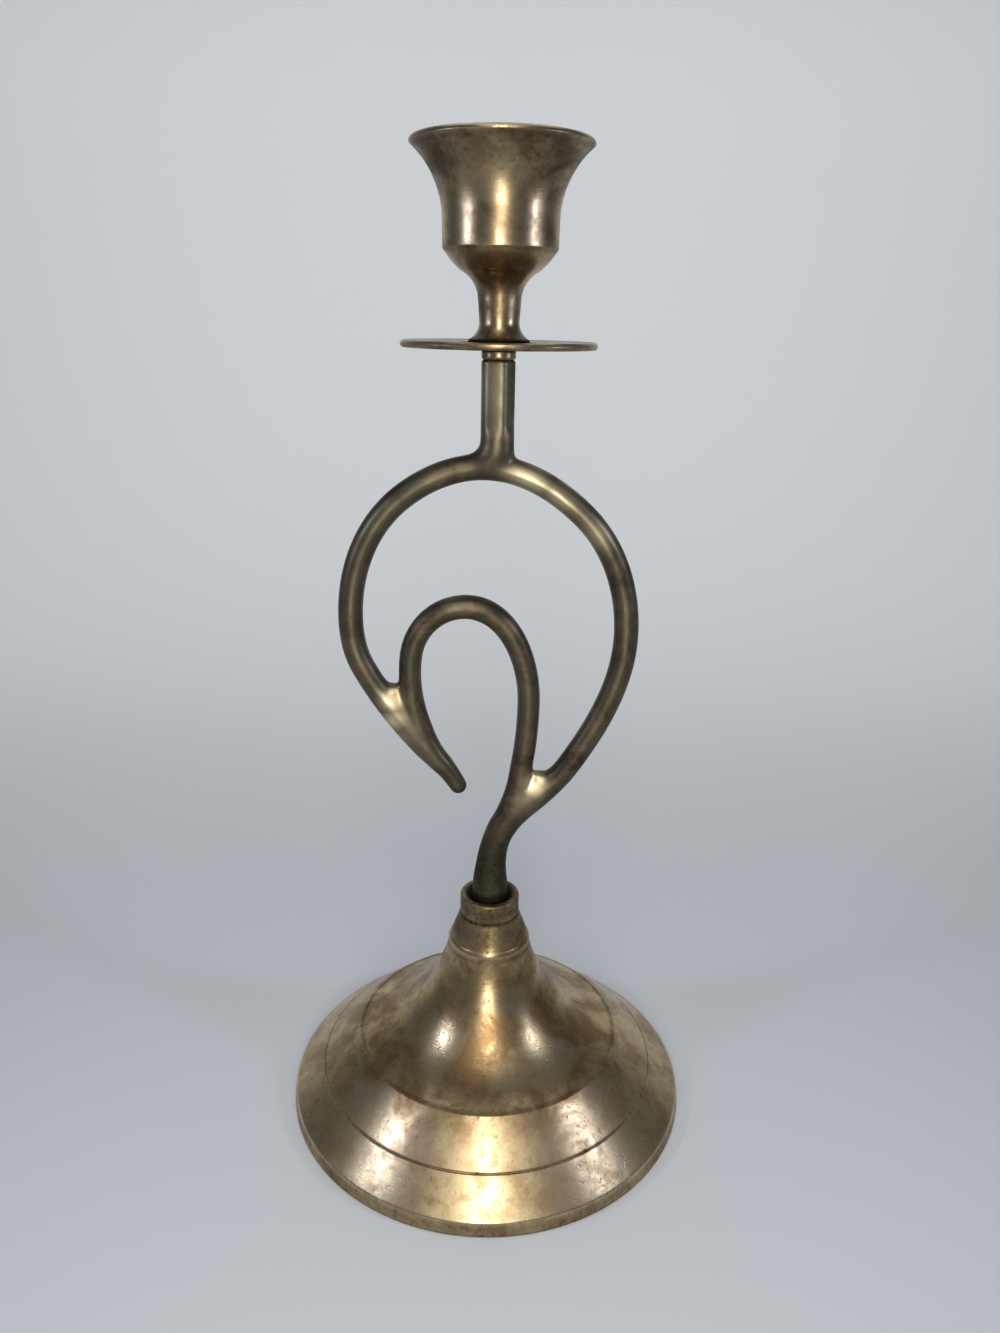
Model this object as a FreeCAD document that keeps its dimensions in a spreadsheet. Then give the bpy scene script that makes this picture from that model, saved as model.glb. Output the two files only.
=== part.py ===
import FreeCAD, Part
import math
import os

import Sketcher

# Candlestick of turned and cast brass, 250 mm high, with an open ring and a scroll for a stem.
# Millimetres. Z is up, X is to the right of the ring seen from the front, and the origin is the
# middle of the circle that the base stands on.

SIZES = (
    # base
    ("base_height", 63.2),
    ("base_wall", 2.2),
    ("rim_radius", 55.9),
    ("band_inset", 0.7),
    ("band_height", 4.0),
    ("trumpet_radius", 38.0),
    ("neck_radius", 11.3),
    ("bead_height", 2.1),
    ("bead_inset", 0.6),
    ("bead_round", 2.4),
    ("collar_radius", 8.1),
    ("collar_length", 5.6),
    ("collar_round", 0.6),
    ("turned_line_depth", 0.35),
    ("socket_depth", 6.2),
    ("socket_floor", 3.0),
    ("socket_gap", 1.4),
    # stem
    ("loop_height", 122.6),
    ("loop_width", 69.6),
    ("ring_rod_radius", 3.1),
    ("scroll_rod_radius", 2.9),
    ("tip_radius", 2.25),
    ("foot_rod_radius", 4.0),
    ("fork_radius", 3.5),
    ("tenon_radius", 4.7),
    ("tenon_height", 7.0),
    ("tenon_taper", 2.6),
    ("post_radius", 4.0),
    ("post_height", 24.9),
    ("post_root", 4.5),
    ("left_fillet_width", 5.5),
    ("left_fillet_height", 3.0),
    ("right_fillet_width", 3.0),
    ("right_fillet_height", 1.4),
    ("web_thickness", 3.2),
    ("edge_break", 0.4),
    # clamping studs
    ("stud_radius", 2.5),
    ("thread_clearance", 0.1),
    ("cup_stud_in_post", 11.0),
    ("cup_stud_in_cup", 9.0),
    ("foot_stud_in_stem", 5.0),
    ("foot_stud_tail", 2.5),
    ("stud_end_gap", 1.0),
    ("nut_width", 8.0),
    ("nut_height", 4.0),
    ("foot_washer_radius", 6.0),
    ("foot_washer_thickness", 1.0),
    ("washer_side_gap", 1.2),
    # collar and pan under the cup
    ("stem_washer_thickness", 2.2),
    ("pan_radius", 22.8),
    ("pan_thickness", 1.6),
    ("pan_seat_radius", 9.0),
    ("pan_dish", 0.3),
    ("pan_edge_inset", 0.5),
    ("pan_edge_round", 0.9),
    # cup
    ("cup_height", 42.0),
    ("cup_foot_radius", 7.1),
    ("cup_foot_edge", 0.5),
    ("cup_foot_sweep", 4.4),
    ("cup_neck_radius", 4.6),
    ("cup_neck_height", 4.2),
    ("cup_neck_top_radius", 4.95),
    ("cup_neck_top_height", 9.4),
    ("bowl_root_radius", 8.8),
    ("bowl_root_height", 15.2),
    ("bowl_root_sweep", 7.0),
    ("bowl_radius", 13.05),
    ("bowl_height", 19.9),
    ("bowl_sweep", 8.8),
    ("barrel_radius", 13.15),
    ("barrel_height", 6.2),
    ("lip_radius", 20.4),
    ("lip_sweep", 19.8),
    ("lip_round", 0.7),
    ("lip_wall", 1.5),
    ("candle_radius", 11.1),
    ("candle_floor_height", 19.8),
    ("candle_grip", 9.0),
    ("mouth_sweep", 18.5),
)

# Where the base's crease lies, as shares of its rim radius and height, and its neck's height.
CREASE_SHARES = (0.6583, 0.3117)
NECK_HEIGHT_SHARE = 0.7674
# How far up the skirt the turned line runs, as a share of the way from the band to the crease.
TURNED_LINE_SHARE = 0.451
# Stations of the rods: shares of loop_width and loop_height, and the heading there in degrees,
# measured where both shares have the same scale.
TOP_SHARES = (0.0, 1.0, 356.1)
RING_LEFT_SHARES = (
    (-0.3329, 0.9381, 204.6),
    (-0.5194, 0.6927, 270.0),
    (-0.4782, 0.5837, 312.8),
    (-0.1943, 0.3686, 332.1),
)
TAIL_TIP_SHARES = (-0.1279, 0.3161, 314.3)
RING_RIGHT_SHARES = (
    (0.3099, 0.9080, 331.4),
    (0.4803, 0.6622, 270.0),
    (0.2905, 0.3679, 221.6),
    (0.0460, 0.2178, 216.0),
)
FORK_SHARES = (0.0460, 0.2178, 46.9)
SCROLL_SHARES = (
    (0.1147, 0.3741, 74.4),
    (0.1328, 0.5115, 90.0),
    (-0.1335, 0.7160, 185.3),
    (-0.3032, 0.6103, 257.8),
    (-0.1943, 0.3686, 318.8),
)
# The lowest point of the open corner where two rods meet, in the same shares.
LEFT_CROTCH_SHARES = (-0.3707, 0.5367)
RIGHT_CROTCH_SHARES = (0.1853, 0.3409)
# How far the corners beside the post are hollowed, as a share of their width.
POST_HOLLOW_SHARE = 0.3
# How many round sections a tapering rod is drawn through.
TAPER_SECTIONS = 5
# The inner corners of the base's wall, as shares of its thickness, inwards and down.
INNER_CREASE_SHARES = (0.51, 0.88)
INNER_NECK_SHARES = (0.98, 0.17)
INNER_BAND_SHARES = (1.0, 0.45)

doc = FreeCAD.newDocument("candlestick")
sheet = doc.addObject("Spreadsheet::Sheet", "sizes")
for row, (alias, number) in enumerate(SIZES, 1):
    sheet.set(f"A{row}", alias)
    sheet.set(f"B{row}", str(number))
    sheet.setAlias(f"B{row}", alias)
doc.recompute()


class Size:
    """A length: its number, and the expression that ties it to the sheet."""

    def __init__(self, value, text):
        self.value = value
        self.text = text

    def __add__(self, other):
        return Size(self.value + other.value, f"({self.text} + {other.text})")

    def __sub__(self, other):
        return Size(self.value - other.value, f"({self.text} - {other.text})")

    def __mul__(self, share):
        return Size(self.value * share, f"({self.text} * {share})")


class Sheet:
    """Gives each alias of the sheet as a Size."""

    def __getattr__(self, alias):
        return Size(sheet.getPropertyByName(alias), f"sizes.{alias}")


size = Sheet()
AXIS = FLOOR = Size(0.0, "0")

# Corners of the base that follow from its rim and height.
BAND_RADIUS = size.rim_radius - size.band_inset
CREASE_RADIUS = size.rim_radius * CREASE_SHARES[0]
CREASE_HEIGHT = size.base_height * CREASE_SHARES[1]
NECK_HEIGHT = size.base_height * NECK_HEIGHT_SHARE
# Heights at which one piece seats on the next.
SOCKET_SEAT = size.base_height - size.socket_depth
FLOOR_UNDERSIDE = SOCKET_SEAT - size.socket_floor
NUT_SEAT = FLOOR_UNDERSIDE - size.foot_washer_thickness
RING_TOP = SOCKET_SEAT + size.loop_height
POST_TOP = RING_TOP + size.post_height
PAN_SEAT = POST_TOP + size.stem_washer_thickness
CUP_SEAT = PAN_SEAT + size.pan_thickness
CUP_TOP = CUP_SEAT + size.cup_height
STUD_HOLE = size.stud_radius + size.thread_clearance


def origin_plane(body, role):
    return next(feature for feature in body.Origin.OriginFeatures if feature.Role == role)


def top_of_arc(start, end, radius, side):
    """The middle of the short arc of this radius that bulges to the left (1) or right (-1)."""
    across, up = end[0] - start[0], end[1] - start[1]
    chord = math.hypot(across, up)
    rise = radius - math.sqrt(radius ** 2 - (chord / 2) ** 2)
    return ((start[0] + end[0]) / 2 - side * rise * up / chord,
            (start[1] + end[1]) / 2 + side * rise * across / chord)


def tie(sketch, kind, item, length):
    """Adds a dimension and ties it to the sheet; a length of nothing lies on the axis instead."""
    if length.text == AXIS.text:
        axis = {"DistanceX": -2, "DistanceY": -1}[kind]
        sketch.addConstraint(Sketcher.Constraint("PointOnObject", *item, axis))
        return
    origin = () if kind == "Radius" else (-1, 1)
    index = sketch.addConstraint(Sketcher.Constraint(kind, *origin, *item, length.value))
    sketch.setExpression(f"Constraints[{index}]", length.text)


def new_sketch(body, name, role):
    sketch = body.newObject("Sketcher::SketchObject", name)
    sketch.AttachmentSupport = [(origin_plane(body, role), "")]
    sketch.MapMode = "FlatFace"
    return sketch


def section(body, name, outline):
    """A closed half section: corners (across, up), with (radius, side) where an arc leads there."""
    sketch = new_sketch(body, name, "XZ_Plane")
    corners = [(corner[0].value, corner[1].value) for corner in outline]
    ends = []
    for i, corner in enumerate(outline):
        start, end = FreeCAD.Vector(*corners[i - 1]), FreeCAD.Vector(*corners[i])
        if len(corner) == 2:
            sketch.addGeometry(Part.LineSegment(start, end))
        else:
            middle = top_of_arc(start, end, corner[2].value, corner[3])
            sketch.addGeometry(Part.Arc(start, FreeCAD.Vector(*middle), end))
        # an arc is kept anticlockwise, so its first point can be the one that it leads to
        turned_round = sketch.getPoint(i, 1).distanceToPoint(end) < sketch.getPoint(i, 2).distanceToPoint(end)
        ends.append((2, 1) if turned_round else (1, 2))
    for i, corner in enumerate(outline):
        following = (i + 1) % len(outline)
        meeting = (i, ends[i][1], following, ends[following][0])
        sketch.addConstraint(Sketcher.Constraint("Coincident", *meeting))
        tie(sketch, "DistanceX", (i, ends[i][1]), corner[0])
        tie(sketch, "DistanceY", (i, ends[i][1]), corner[1])
        if len(corner) == 4:
            tie(sketch, "Radius", (i,), corner[2])
    return sketch


def turned(label, outline):
    """A body turned about Z from its half section."""
    body = doc.addObject("PartDesign::Body", label)
    sketch = section(body, f"{label}_section", outline)
    turning = body.newObject("PartDesign::Revolution", f"{label}_turning")
    turning.Profile = sketch
    turning.ReferenceAxis = (sketch, ["V_Axis"])
    turning.Angle = 360.0
    doc.recompute()
    return body


def broken_ring(label, inner, outer, low, high):
    """A flat ring with its outer edges broken."""
    broken = outer - size.edge_break
    return turned(label, (
        (inner, low),
        (broken, low),
        (outer, low + size.edge_break),
        (outer, high - size.edge_break),
        (broken, high),
        (inner, high),
    ))


def base():
    """Hollow turned foot: band, skirt, crease, trumpet, bead, shoulder and socket collar."""
    wall = size.base_wall
    socket = size.tenon_radius + size.socket_gap
    under_floor = size.foot_washer_radius + size.washer_side_gap
    body = turned("base", (
        (size.rim_radius - wall, FLOOR),
        (size.rim_radius, FLOOR),
        (BAND_RADIUS, size.band_height),
        (CREASE_RADIUS, CREASE_HEIGHT),
        (size.neck_radius, NECK_HEIGHT, size.trumpet_radius, 1),
        (size.neck_radius - size.bead_inset, NECK_HEIGHT + size.bead_height, size.bead_round, -1),
        (size.collar_radius, size.base_height - size.collar_length),
        (size.collar_radius, size.base_height - size.collar_round),
        (size.collar_radius - size.collar_round, size.base_height, size.collar_round, -1),
        (socket, size.base_height),
        (socket, SOCKET_SEAT),
        (STUD_HOLE, SOCKET_SEAT),
        (STUD_HOLE, FLOOR_UNDERSIDE),
        (under_floor, FLOOR_UNDERSIDE),
        (size.neck_radius - wall * INNER_NECK_SHARES[0], NECK_HEIGHT - wall * INNER_NECK_SHARES[1]),
        (CREASE_RADIUS - wall * INNER_CREASE_SHARES[0],
         CREASE_HEIGHT - wall * INNER_CREASE_SHARES[1], size.trumpet_radius + wall, -1),
        (BAND_RADIUS - wall * INNER_BAND_SHARES[0], size.band_height - wall * INNER_BAND_SHARES[1]),
    ))
    # the fine line turned in the skirt, half round
    line = new_sketch(body, "turned_line_section", "XZ_Plane")
    radius = BAND_RADIUS - (BAND_RADIUS - CREASE_RADIUS) * TURNED_LINE_SHARE
    height = size.band_height + (CREASE_HEIGHT - size.band_height) * TURNED_LINE_SHARE
    centre = FreeCAD.Vector(radius.value, height.value)
    line.addGeometry(Part.Circle(centre, FreeCAD.Vector(0, 0, 1), size.turned_line_depth.value))
    tie(line, "DistanceX", (0, 3), radius)
    tie(line, "DistanceY", (0, 3), height)
    tie(line, "Radius", (0,), size.turned_line_depth)
    cut = body.newObject("PartDesign::Groove", "turned_line")
    cut.Profile = line
    cut.ReferenceAxis = (line, ["V_Axis"])
    cut.Angle = 360.0
    body.Tip = cut
    return body


def candle_cup():
    """Turned cup: foot, waisted neck, bowl, straight barrel and flared lip, bored for a candle."""
    tapped_top = CUP_SEAT + size.cup_stud_in_cup + size.stud_end_gap
    candle_floor = CUP_SEAT + size.candle_floor_height
    barrel_top = CUP_SEAT + size.bowl_height + size.barrel_height
    return turned("candle_cup", (
        (AXIS, tapped_top),
        (STUD_HOLE, tapped_top),
        (STUD_HOLE, CUP_SEAT),
        (size.cup_foot_radius, CUP_SEAT),
        (size.cup_foot_radius, CUP_SEAT + size.cup_foot_edge),
        (size.cup_neck_radius, CUP_SEAT + size.cup_neck_height, size.cup_foot_sweep, 1),
        (size.cup_neck_top_radius, CUP_SEAT + size.cup_neck_top_height),
        (size.bowl_root_radius, CUP_SEAT + size.bowl_root_height, size.bowl_root_sweep, 1),
        (size.bowl_radius, CUP_SEAT + size.bowl_height, size.bowl_sweep, -1),
        (size.barrel_radius, barrel_top),
        (size.lip_radius, CUP_TOP - size.lip_round, size.lip_sweep, 1),
        (size.lip_radius - size.lip_round, CUP_TOP, size.lip_round, -1),
        (size.lip_radius - size.lip_wall, CUP_TOP),
        (size.candle_radius, candle_floor + size.candle_grip, size.mouth_sweep, -1),
        (size.candle_radius, candle_floor),
        (AXIS, candle_floor),
    ))


def drip_pan():
    """Thin round pan: flat where it is clamped, then dished up a little to its rounded edge."""
    edge = size.pan_radius - size.pan_edge_inset
    lifted = PAN_SEAT + size.pan_dish
    return turned("drip_pan", (
        (STUD_HOLE, PAN_SEAT),
        (size.pan_seat_radius, PAN_SEAT),
        (edge, lifted),
        (edge, lifted + size.pan_thickness, size.pan_edge_round, -1),
        (size.pan_seat_radius, CUP_SEAT),
        (STUD_HOLE, CUP_SEAT),
    ))


def stud(label, low, high):
    """A threaded stud, plain here, with both ends broken."""
    broken = size.stud_radius - size.edge_break
    return turned(label, (
        (AXIS, low),
        (broken, low),
        (size.stud_radius, low + size.edge_break),
        (size.stud_radius, high - size.edge_break),
        (broken, high),
        (AXIS, high),
    ))


def foot_nut():
    """Hexagon nut under the socket floor, its lower corners turned off."""
    body = doc.addObject("PartDesign::Body", "foot_nut")
    low = NUT_SEAT - size.nut_height
    sketch = new_sketch(body, "nut_outline", "XY_Plane")
    sketch.setExpression("AttachmentOffset.Base.z", low.text)
    corner_radius = size.nut_width * (0.5 / math.cos(math.radians(30)))
    turns = [math.radians(30 + 60 * i) for i in range(6)]
    corners = [FreeCAD.Vector(math.cos(a), math.sin(a)) * corner_radius.value for a in turns]
    for i in range(6):
        sketch.addGeometry(Part.LineSegment(corners[i - 1], corners[i]))
    for i, turn in enumerate(turns):
        sketch.addConstraint(Sketcher.Constraint("Coincident", i, 2, (i + 1) % 6, 1))
        across = round(math.cos(turn), 12)
        tie(sketch, "DistanceX", (i, 2), corner_radius * across if across else AXIS)
        tie(sketch, "DistanceY", (i, 2), corner_radius * math.sin(turn))
    sketch.addGeometry(Part.Circle(FreeCAD.Vector(), FreeCAD.Vector(0, 0, 1), STUD_HOLE.value))
    sketch.addConstraint(Sketcher.Constraint("Coincident", 6, 3, -1, 1))
    tie(sketch, "Radius", (6,), STUD_HOLE)
    pad = body.newObject("PartDesign::Pad", "nut_pad")
    pad.Profile = sketch
    pad.setExpression("Length", size.nut_height.text)
    flat = size.nut_width * 0.5
    turned_off = section(body, "nut_corner", (
        (flat, low),
        (corner_radius, low),
        (corner_radius, low + (corner_radius - flat)),
    ))
    cut = body.newObject("PartDesign::Groove", "nut_chamfer")
    cut.Profile = turned_off
    cut.ReferenceAxis = (turned_off, ["V_Axis"])
    cut.Angle = 360.0
    body.Tip = cut
    return body


def station(shares):
    """A point of the loop's middle plane, and the direction of the rod through it."""
    wide, high = size.loop_width.value, size.loop_height.value
    heading = math.radians(shares[2]) if len(shares) == 3 else 0.0
    direction = FreeCAD.Vector(math.cos(heading) * wide, 0, math.sin(heading) * high)
    return FreeCAD.Vector(shares[0] * wide, 0, SOCKET_SEAT.value + shares[1] * high), direction.normalize()


def arc_leaving(start, direction, end):
    """The arc, or straight run, that leaves start in this direction and ends at end."""
    chord = end - start
    side = FreeCAD.Vector(-chord.z, 0, chord.x)
    turn = math.atan2(side.dot(direction), chord.dot(direction))
    if abs(turn) < math.radians(0.05):
        return Part.LineSegment(start, end).toShape()
    return Part.Arc(start, (start + end) / 2 + side / 2 * math.tan(turn / 2), end).toShape()


def rod_between(first, second):
    """Two tangent arcs from one station to the next."""
    (start, leaving), (end, arriving) = first, second
    run = end - start
    both = leaving + arriving
    bend = 1 - leaving.dot(arriving)
    reach = run.dot(run) / (2 * run.dot(both))
    if bend > 1e-6:
        root = math.sqrt(run.dot(both) ** 2 + 2 * bend * run.dot(run))
        reach = (root - run.dot(both)) / (2 * bend)
    joint = (start + leaving * reach + end - arriving * reach) / 2
    return [arc_leaving(start, leaving, joint), arc_leaving(end, -arriving, joint)]


def route(stations):
    """The edges of a rod's middle line through its stations."""
    edges = []
    for first, second in zip(stations, stations[1:]):
        edges += rod_between(first, second)
    return edges


def circle_at(point, direction, radius):
    return Part.Wire(Part.makeCircle(radius, point, direction))


def round_rod(stations, radius):
    """A rod of one radius along the stations."""
    point, direction = stations[0]
    return Part.Wire(Part.__sortEdges__(route(stations))).makePipeShell(
        [circle_at(point, direction, radius)], True, False)


def tapered_rod(first, last, start_radius, end_radius):
    """A rod that thins evenly from one station to the next, with a round end."""
    path = Part.Wire(Part.__sortEdges__(rod_between(first, last)))
    points = path.discretize(TAPER_SECTIONS)
    if points[0].distanceToPoint(first[0]) > points[-1].distanceToPoint(first[0]):
        points.reverse()
    sections = []
    for i, point in enumerate(points):
        share = i / (TAPER_SECTIONS - 1)
        direction = first[1] * (1 - share) + last[1] * share
        sections.append(circle_at(point, direction, start_radius + (end_radius - start_radius) * share))
    return Part.makeLoft(sections, True, False).fuse(Part.makeSphere(end_radius, last[0]))


def web(first_edges, second_edges, mouth, lowest, thickness):
    """The cast web that fills the corner between two rods up to a hollow mouth."""
    edges = first_edges + second_edges + [Part.Arc(mouth[0], lowest, mouth[1]).toShape()]
    face = Part.Face(Part.Wire(Part.__sortEdges__(edges)))
    face.translate(FreeCAD.Vector(0, -thickness / 2, 0))
    return face.extrude(FreeCAD.Vector(0, thickness, 0))


def loop_rods():
    """Ring, scroll, tail and webs of the casting, as one solid."""
    top = station(TOP_SHARES)
    ring_left = [(top[0], -top[1])] + [station(s) for s in RING_LEFT_SHARES]
    ring_right = [top] + [station(s) for s in RING_RIGHT_SHARES]
    fork = station(FORK_SHARES)
    scroll = [fork] + [station(s) for s in SCROLL_SHARES]
    foot_top = (FreeCAD.Vector(0, 0, (SOCKET_SEAT + size.tenon_height + size.tenon_taper).value),
                FreeCAD.Vector(0, 0, 1))
    ring_radius = size.ring_rod_radius.value
    scroll_radius = size.scroll_rod_radius.value
    thickness = size.web_thickness.value
    meeting = ring_left[-1][0]
    tail_start = (meeting, (ring_left[-1][1] + scroll[-1][1]).normalize())
    left_crotch, _ = station(LEFT_CROTCH_SHARES)
    right_crotch, _ = station(RIGHT_CROTCH_SHARES)
    solids = [
        round_rod(ring_left, ring_radius),
        round_rod(ring_right, ring_radius),
        round_rod(scroll, scroll_radius),
        tapered_rod(foot_top, fork, size.foot_rod_radius.value, size.fork_radius.value),
        Part.makeSphere(ring_radius, meeting),
        tapered_rod(tail_start, station(TAIL_TIP_SHARES), ring_radius, size.tip_radius.value),
        web(rod_between(*ring_left[-2:]), rod_between(*scroll[-2:]),
            (ring_left[-2][0], scroll[-2][0]), left_crotch, thickness),
        web(rod_between(*ring_right[-2:]), rod_between(*scroll[:2]),
            (ring_right[-2][0], scroll[1][0]), right_crotch, thickness),
    ]
    rods = solids[0].multiFuse(solids[1:]).removeSplitter()
    feature = doc.addObject("Part::Feature", "loop_rods")
    feature.Shape = rods
    return feature


def post_fillets():
    """The cast corners between the post and the top of the ring, in the plane of the ring."""
    half = size.post_radius.value
    low = RING_TOP.value
    corners = []
    for side, width, height in ((-1, size.left_fillet_width, size.left_fillet_height),
                                (1, size.right_fillet_width, size.right_fillet_height)):
        bulge = width.value * POST_HOLLOW_SHARE
        high = (RING_TOP + size.ring_rod_radius + height).value
        upper = FreeCAD.Vector(side * (half - bulge), 0, high)
        hollow = FreeCAD.Vector(side * (half + bulge), 0, (high + low) / 2)
        lower = FreeCAD.Vector(side * (half + width.value), 0, low)
        corners.append((upper, hollow, lower))
    (left_high, left_hollow, left_low), (right_high, right_hollow, right_low) = corners
    edges = [
        Part.LineSegment(left_high, right_high).toShape(),
        Part.Arc(right_high, right_hollow, right_low).toShape(),
        Part.LineSegment(right_low, left_low).toShape(),
        Part.Arc(left_low, left_hollow, left_high).toShape(),
    ]
    thickness = size.web_thickness.value + size.edge_break.value
    face = Part.Face(Part.Wire(edges))
    face.translate(FreeCAD.Vector(0, -thickness / 2, 0))
    feature = doc.addObject("Part::Feature", "post_fillets")
    feature.Shape = face.extrude(FreeCAD.Vector(0, thickness, 0))
    return feature


def upright(kind, label, low, **lengths):
    """A primitive on the axis whose lengths and foot follow the sheet."""
    primitive = doc.addObject(kind, label)
    for name, length in lengths.items():
        primitive.setExpression(name, length.text)
    primitive.setExpression("Placement.Base.z", low.text)
    return primitive


def loop_stem():
    """One casting: post, open ring, scroll, tail and tenon, tapped at both ends."""
    root_low = RING_TOP - size.edge_break
    pieces = [
        loop_rods(),
        post_fillets(),
        upright("Part::Cone", "post_root", root_low, Radius1=size.ring_rod_radius - size.edge_break,
                Radius2=size.post_radius, Height=size.post_root),
        upright("Part::Cylinder", "post", root_low + size.post_root, Radius=size.post_radius,
                Height=POST_TOP - root_low - size.post_root - size.edge_break),
        upright("Part::Cone", "post_edge", POST_TOP - size.edge_break, Radius1=size.post_radius,
                Radius2=size.post_radius - size.edge_break, Height=size.edge_break),
        upright("Part::Cylinder", "tenon", SOCKET_SEAT, Radius=size.tenon_radius, Height=size.tenon_height),
        upright("Part::Cone", "tenon_neck", SOCKET_SEAT + size.tenon_height, Radius1=size.tenon_radius,
                Radius2=size.foot_rod_radius, Height=size.tenon_taper),
    ]
    casting = doc.addObject("Part::MultiFuse", "stem_casting")
    casting.Shapes = pieces
    casting.Refine = True
    post_depth = size.cup_stud_in_post + size.stud_end_gap
    holes = doc.addObject("Part::MultiFuse", "tapped_holes")
    holes.Shapes = [
        upright("Part::Cylinder", "post_hole", POST_TOP - post_depth, Radius=STUD_HOLE, Height=post_depth),
        upright("Part::Cylinder", "tenon_hole", SOCKET_SEAT, Radius=STUD_HOLE,
                Height=size.foot_stud_in_stem + size.stud_end_gap),
    ]
    stem = doc.addObject("Part::Cut", "loop_stem")
    stem.Base = casting
    stem.Tool = holes
    return stem


def write_parts(pieces):
    """Checks every object and shape, then writes one file for each piece."""
    failed = [o.Name for o in doc.Objects if {"Invalid", "Error"} & set(o.State)]
    bad = [p.Label for p in pieces if p.Shape.isNull() or not p.Shape.isValid()]
    if failed or bad:
        raise SystemExit(f"failed objects: {failed}, bad shapes: {bad}")
    os.makedirs("parts", exist_ok=True)
    for piece in pieces:
        piece.Shape.exportStep(f"parts/{piece.Label}.step")
        print(piece.Label, len(piece.Shape.Solids), "solid", round(piece.Shape.Volume), "mm3")


parts = [
    base(),
    loop_stem(),
    broken_ring("stem_washer", STUD_HOLE, size.post_radius, POST_TOP, PAN_SEAT),
    drip_pan(),
    candle_cup(),
    stud("cup_stud", POST_TOP - size.cup_stud_in_post, CUP_SEAT + size.cup_stud_in_cup),
    stud("foot_stud", NUT_SEAT - size.nut_height - size.foot_stud_tail, SOCKET_SEAT + size.foot_stud_in_stem),
    broken_ring("foot_washer", STUD_HOLE, size.foot_washer_radius, NUT_SEAT, FLOOR_UNDERSIDE),
    foot_nut(),
]
doc.recompute()
write_parts(parts)
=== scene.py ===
import math

import bpy
import numpy as np
from mathutils import Matrix, Vector


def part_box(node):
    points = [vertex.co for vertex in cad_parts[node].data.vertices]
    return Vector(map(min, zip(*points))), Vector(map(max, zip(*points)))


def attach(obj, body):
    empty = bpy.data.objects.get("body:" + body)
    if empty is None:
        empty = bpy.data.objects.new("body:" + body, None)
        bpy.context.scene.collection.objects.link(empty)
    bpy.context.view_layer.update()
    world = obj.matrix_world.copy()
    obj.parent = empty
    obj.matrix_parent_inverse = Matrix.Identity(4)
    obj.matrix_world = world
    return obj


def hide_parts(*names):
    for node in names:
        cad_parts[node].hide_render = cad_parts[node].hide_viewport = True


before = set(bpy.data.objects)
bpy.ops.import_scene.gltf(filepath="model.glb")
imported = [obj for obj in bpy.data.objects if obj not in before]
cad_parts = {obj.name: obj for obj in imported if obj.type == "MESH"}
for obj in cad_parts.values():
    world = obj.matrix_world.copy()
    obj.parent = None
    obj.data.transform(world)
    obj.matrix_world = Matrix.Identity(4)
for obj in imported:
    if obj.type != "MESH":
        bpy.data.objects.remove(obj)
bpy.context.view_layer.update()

# Brass candlestick: turned base, drip pan and cup on a cast stem bent into a ring and a scroll.
# Lengths are in metres; MM turns the millimetres of a workshop drawing into them.
MM = 0.001
BODY = "root"

_, base_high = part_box("base")
stem_low, stem_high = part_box("loop_stem")
washer_low, washer_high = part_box("stem_washer")
pan_low, pan_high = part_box("drip_pan")
cup_low, cup_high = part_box("candle_cup")


def linear(hex_colour):
    """An sRGB hex colour as the linear numbers that a shader takes."""
    channels = [int(hex_colour[i:i + 2], 16) / 255 for i in (1, 3, 5)]
    return [c / 12.92 if c <= 0.04045 else ((c + 0.055) / 1.055) ** 2.4 for c in channels] + [1.0]


def add(tree, kind, inputs=None, **settings):
    """Adds a node, sets its properties, and fills or links its inputs."""
    node = tree.nodes.new(kind)
    for name, value in settings.items():
        setattr(node, name, value)
    for name, value in (inputs or {}).items():
        if isinstance(value, bpy.types.NodeSocket):
            tree.links.new(value, node.inputs[name])
        else:
            node.inputs[name].default_value = value
    return node


def per_metre(millimetres):
    """The scale of a pattern whose features are this many millimetres apart."""
    return 1 / (millimetres * MM)


# Shapes

# how finely a turned piece is drawn: steps round it, and the longest steps along its profile and its arcs
TURNS = 240
PROFILE_STEP = 0.9 * MM
ARC_STEP = 0.4 * MM
# a corner that turns less than this belongs to an arc; a sharper one is rounded in a few steps, which
# take up less than half of the sides that meet there
SLIGHT_TURN = math.radians(14)
CORNER_STEPS = 5
CORNER_SHARE = 0.45
# a point nearer to the axis than this is on it
ON_AXIS = 1e-7
# no length is divided by less than this
LEAST_LENGTH = 1e-6
# the pale wear of the skirt ends in a zone of this height
SATIN_FADE = 4.5 * MM
# how soon a surface that turns towards the axis counts as one of the inside
INSIDE_GAIN = 4


def arc_to(start, end, radius, side):
    """Points along the short arc of this radius that bulges to the left (1) or right (-1)."""
    start, end = np.array(start, float), np.array(end, float)
    along = end - start
    chord = np.hypot(*along)
    across = np.array([-along[1], along[0]]) / chord * side
    centre = (start + end) / 2 - across * math.sqrt(radius ** 2 - (chord / 2) ** 2)
    first = math.atan2(*(start - centre)[::-1])
    last = math.atan2(*(end - centre)[::-1])
    sweep = (last - first + math.pi) % (2 * math.pi) - math.pi
    steps = max(3, int(chord / ARC_STEP))
    angles = first + sweep * np.linspace(0, 1, steps + 1)[1:]
    return [centre + radius * np.array([math.cos(a), math.sin(a)]) for a in angles]


def outline(corners):
    """A turned profile: corners (r, z), with (radius, side) where an arc leads there."""
    points = [np.array(corners[0][:2], float)]
    for corner in corners[1:]:
        if len(corner) == 2:
            points.append(np.array(corner, float))
        else:
            points += arc_to(points[-1], corner[:2], corner[2], corner[3])
    return points


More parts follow.
